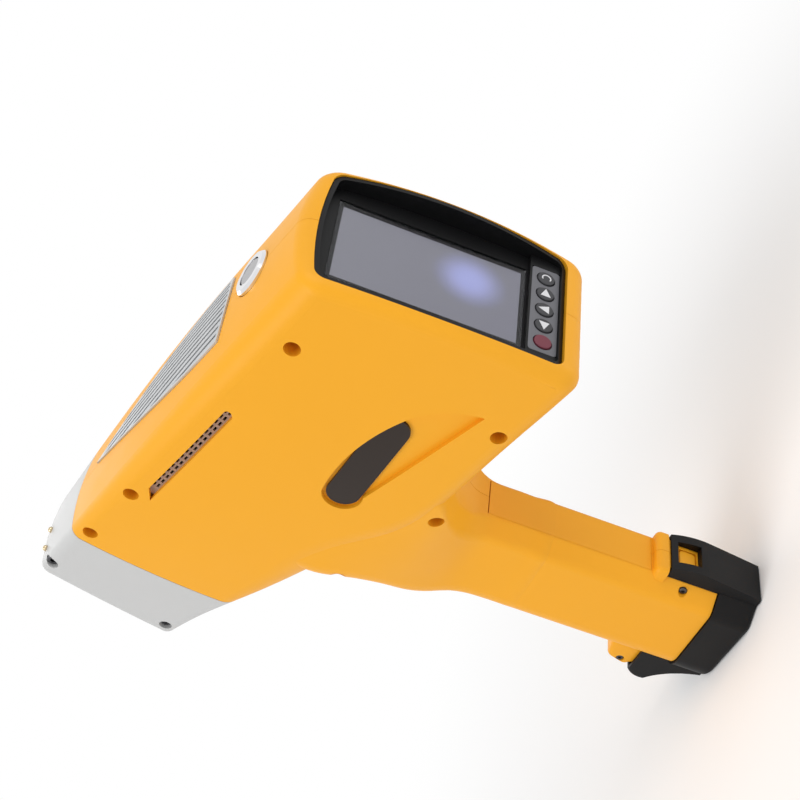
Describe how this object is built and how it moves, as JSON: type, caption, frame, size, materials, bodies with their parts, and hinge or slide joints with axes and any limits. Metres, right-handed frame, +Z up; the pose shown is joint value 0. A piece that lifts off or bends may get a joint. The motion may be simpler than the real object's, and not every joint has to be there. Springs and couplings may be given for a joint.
{
  "type": "handheld x-ray fluorescence analyzer",
  "caption": "Pistol-shaped handheld analyzer with a tapering yellow barrel, grey nose, ribbed top heat sink, rear screen with keys, trigger and a slide-out battery foot.",
  "frame": {"origin": "centre of the flat underside of the battery boot, between the grip's two sides", "axes": "+Z up along the grip, -X the way the nose points, +X the screen side, +Y the right-hand side"},
  "size_m": [0.262, 0.084, 0.3255],
  "materials": {
    "housing_yellow": "warm yellow moulded plastic with a fine satin grain",
    "nose_grey": "light warm grey moulded plastic, satin",
    "boot_black": "near-black moulded plastic, satin",
    "bezel_black": "near-black moulded plastic, fine grain",
    "trigger_black": "black moulded plastic, satin",
    "badge_bronze": "dark bronze inlay, glossy, bare",
    "sink_aluminium": "bead-blasted aluminium with machined fins",
    "plate_steel": "brushed steel window plate",
    "film": "thin dark window film",
    "screw_steel": "zinc-plated steel screws",
    "dark_screw": "dark oxide steel screws",
    "contact_gold": "gold-plated contacts",
    "button_chrome": "polished ring of the power button",
    "cap_steel": "brushed cap of the power button",
    "mesh_dark": "black vent mesh",
    "glass": "clear cover glass",
    "lcd": "grey-violet display face",
    "board_green": "green circuit board",
    "keypad": "dark keypad plate",
    "key_red": "red key, satin",
    "key_grey": "dark grey key, satin",
    "block_metal": "machined measuring-head block",
    "tube_metal": "brass-bodied tube",
    "detector_metal": "nickel-plated detector can",
    "wheel_metal": "thin filter wheel",
    "chassis_metal": "folded chassis sheet",
    "supply_black": "potted high-voltage supply",
    "pad_grey": "soft thermal pad",
    "pack_grey": "battery pack shell",
    "cell_steel": "sleeved lithium cells",
    "spring_steel": "coiled spring wire"
  },
  "bodies": {
    "instrument": {"left_housing": "housing_yellow", "right_housing": "housing_yellow", "grip_strip": "housing_yellow", "housing_screws": "screw_steel", "latch_screws": "dark_screw", "nose_cap": "nose_grey", "window_plate": "plate_steel", "window_film": "film", "plate_screws": "dark_screw", "nose_screws": "dark_screw", "dock_pins": "contact_gold", "head_block": "block_metal", "xray_tube": "tube_metal", "detector": "detector_metal", "preamp_board": "board_green", "filter_motor": "detector_metal", "chassis_plate": "chassis_metal", "chassis_screws": "screw_steel", "high_voltage_supply": "supply_black", "main_board": "board_green", "processor_board": "board_green", "beeper": "mesh_dark", "heat_bridge": "block_metal", "thermal_pad": "pad_grey", "heat_sink": "sink_aluminium", "power_ring": "button_chrome", "power_nut": "screw_steel", "left_vent_mesh": "mesh_dark", "right_vent_mesh": "mesh_dark", "left_badge": "badge_bronze", "right_badge": "badge_bronze", "display_bezel": "bezel_black", "display_glass": "glass", "lcd_panel": "lcd", "display_board": "board_green", "display_screws": "dark_screw", "key_switches": "mesh_dark", "keypad_plate": "keypad", "trigger_pin": "screw_steel", "trigger_spring": "spring_steel", "trigger_switch": "mesh_dark", "contact_block": "supply_black", "release_spring": "spring_steel"},
    "battery": {"battery_boot": "boot_black", "battery_case": "pack_grey", "battery_cells": "cell_steel", "battery_contacts": "contact_gold"},
    "release": {"release_button": "housing_yellow"},
    "trigger_lever": {"trigger": "trigger_black"},
    "power_push": {"power_cap": "cap_steel"},
    "red_push": {"red_key": "key_red"},
    "left_push": {"left_key": "key_grey"},
    "up_push": {"up_key": "key_grey"},
    "right_push": {"right_key": "key_grey"},
    "return_push": {"return_key": "key_grey"},
    "filter_carousel": {"filter_wheel": "wheel_metal"}
  },
  "joints": [
    {"name": "battery_slide", "type": "slide", "parent": "instrument", "child": "battery", "axis": [0, 0, 1], "range_m": [-0.092, 0]},
    {"name": "release_press", "type": "slide", "parent": "instrument", "child": "release", "axis": [-1, 0, 0], "range_m": [0, 0.002], "stiffness_N_per_m": 700, "springref_m": -0.0015, "deforming": ["release_spring"]},
    {"name": "trigger_pull", "type": "hinge", "parent": "instrument", "child": "trigger_lever", "pos_m": [-0.012, 0, 0.183], "axis": [0, 1, 0], "range_deg": [-9, 0], "stiffness_Nm_per_rad": 0.4, "springref_deg": 8.59, "deforming": ["trigger_spring"]},
    {"name": "power_press", "type": "slide", "parent": "instrument", "child": "power_push", "axis": [-0.2487, 0, -0.9686], "range_m": [0, 0.0012], "stiffness_N_per_m": 900, "springref_m": -0.0008},
    {"name": "red_press", "type": "slide", "parent": "instrument", "child": "red_push", "axis": [-1, 0, 0], "range_m": [0, 0.0006], "stiffness_N_per_m": 1200, "springref_m": -0.0006},
    {"name": "left_press", "type": "slide", "parent": "instrument", "child": "left_push", "axis": [-1, 0, 0], "range_m": [0, 0.0006], "stiffness_N_per_m": 1200, "springref_m": -0.0006},
    {"name": "up_press", "type": "slide", "parent": "instrument", "child": "up_push", "axis": [-1, 0, 0], "range_m": [0, 0.0006], "stiffness_N_per_m": 1200, "springref_m": -0.0006},
    {"name": "right_press", "type": "slide", "parent": "instrument", "child": "right_push", "axis": [-1, 0, 0], "range_m": [0, 0.0006], "stiffness_N_per_m": 1200, "springref_m": -0.0006},
    {"name": "return_press", "type": "slide", "parent": "instrument", "child": "return_push", "axis": [-1, 0, 0], "range_m": [0, 0.0006], "stiffness_N_per_m": 1200, "springref_m": -0.0006},
    {"name": "filter_turn", "type": "hinge", "parent": "instrument", "child": "filter_carousel", "pos_m": [-0.09257, 0.009, 0.28876], "axis": [0.9686, 0, -0.2487], "continuous": true}
  ]
}
